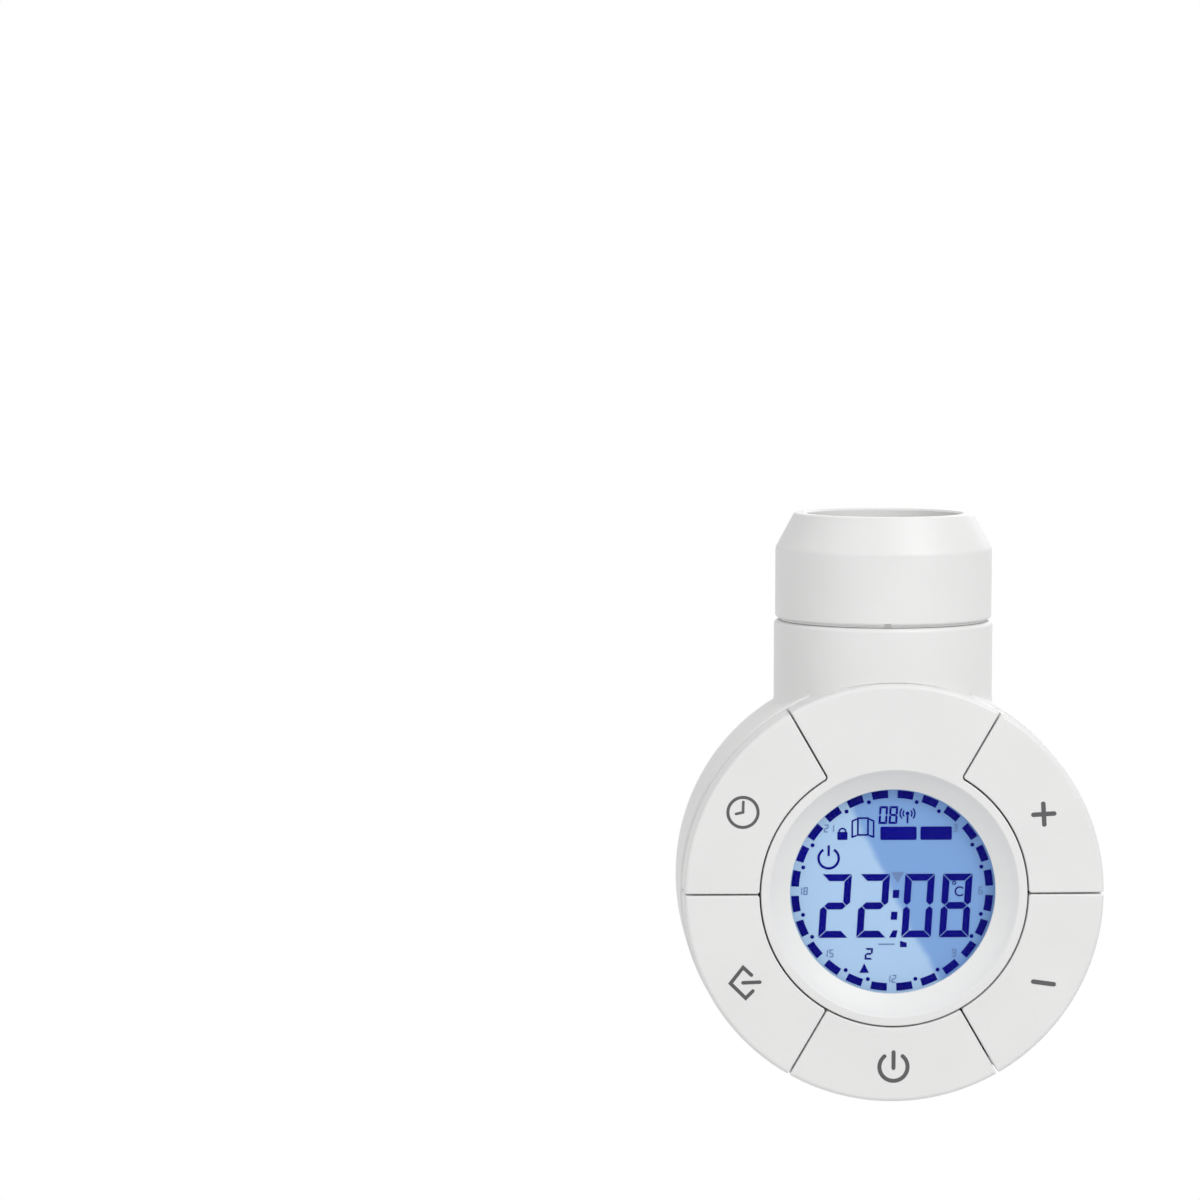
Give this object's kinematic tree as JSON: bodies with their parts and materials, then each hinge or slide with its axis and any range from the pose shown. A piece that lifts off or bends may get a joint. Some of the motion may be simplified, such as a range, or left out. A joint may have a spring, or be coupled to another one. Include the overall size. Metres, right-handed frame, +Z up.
{
  "type": "programmable timer",
  "caption": "Round programmable timer that plugs onto a towel radiator's heating element, with sector keys round a dished display and a swivelling neck.",
  "frame": {"origin": "centre of the collar's top ring, where the collar meets the underside of the radiator", "axes": "+Z up along the neck, the face towards -Y, +X to the viewer's right"},
  "size_m": [0.071, 0.0439, 0.0982],
  "materials": {
    "white_shell": "satin",
    "sleeve_plastic": "matte",
    "dark_plastic": "matte",
    "plunger_red": "matte",
    "steel": "satin",
    "brass": "satin",
    "rubber": "matte",
    "clear_window": "gloss",
    "lcd_blue": "gloss",
    "light_guide": "satin",
    "board_green": "satin",
    "relay_blue": "satin",
    "component_yellow": "satin",
    "component_brown": "satin",
    "lead_grey": "matte"
  },
  "bodies": {
    "coupling": {"collar": "white_shell", "coupling_sleeve": "sleeve_plastic", "clamp_screw": "steel", "neck_seal": "rubber", "retaining_nut": "dark_plastic", "contact_block": "dark_plastic", "contact_pin_live": "brass", "contact_pin_neutral": "brass", "contact_pin_earth": "brass"},
    "head": {"board_connector": "dark_plastic", "board_screw_1": "steel", "board_screw_2": "steel", "board_screw_3": "steel", "board_screw_4": "steel", "cable_bush": "dark_plastic", "contact_strip": "rubber", "control_board": "board_green", "display_lens": "clear_window", "element_connector": "sleeve_plastic", "element_lead": "lead_grey", "enter_switch": "dark_plastic", "front_bezel": "white_shell", "fuse": "component_brown", "housing": "white_shell", "lcd_glass": "lcd_blue", "lcd_holder": "sleeve_plastic", "light_guide": "light_guide", "mains_capacitor": "component_yellow", "minus_switch": "dark_plastic", "plus_switch": "dark_plastic", "power_board": "board_green", "power_screw_1": "steel", "power_screw_2": "steel", "power_screw_3": "steel", "power_screw_4": "steel", "power_switch": "dark_plastic", "processor": "dark_plastic", "rear_cover": "white_shell", "rear_screw_1": "steel", "rear_screw_2": "steel", "rear_screw_3": "steel", "rear_screw_4": "steel", "rear_seal": "rubber", "relay": "relay_blue", "smoothing_capacitor": "dark_plastic", "terminal_block": "board_green", "timer_switch": "dark_plastic", "transformer": "component_yellow"},
    "timer_key_body": {"timer_key": "white_shell", "timer_plunger": "plunger_red"},
    "plus_key_body": {"plus_key": "white_shell", "plus_plunger": "plunger_red"},
    "minus_key_body": {"minus_key": "white_shell", "minus_plunger": "plunger_red"},
    "power_key_body": {"power_key": "white_shell", "power_plunger": "plunger_red"},
    "enter_key_body": {"enter_key": "white_shell", "enter_plunger": "plunger_red"}
  },
  "joints": [
    {"name": "head_swivel", "type": "hinge", "parent": "coupling", "child": "head", "pos_m": [0, 0, -0.0194], "axis": [0, 0, 1], "range_deg": [-168, 168]},
    {"name": "timer_press", "type": "slide", "parent": "head", "child": "timer_key_body", "axis": [0, 1, 0], "range_m": [0, 0.0008], "stiffness_N_per_m": 2500, "springref_m": -0.0002},
    {"name": "plus_press", "type": "slide", "parent": "head", "child": "plus_key_body", "axis": [0, 1, 0], "range_m": [0, 0.0008], "stiffness_N_per_m": 2500, "springref_m": -0.0002},
    {"name": "minus_press", "type": "slide", "parent": "head", "child": "minus_key_body", "axis": [0, 1, 0], "range_m": [0, 0.0008], "stiffness_N_per_m": 2500, "springref_m": -0.0002},
    {"name": "power_press", "type": "slide", "parent": "head", "child": "power_key_body", "axis": [0, 1, 0], "range_m": [0, 0.0008], "stiffness_N_per_m": 2500, "springref_m": -0.0002},
    {"name": "enter_press", "type": "slide", "parent": "head", "child": "enter_key_body", "axis": [0, 1, 0], "range_m": [0, 0.0008], "stiffness_N_per_m": 2500, "springref_m": -0.0002}
  ]
}
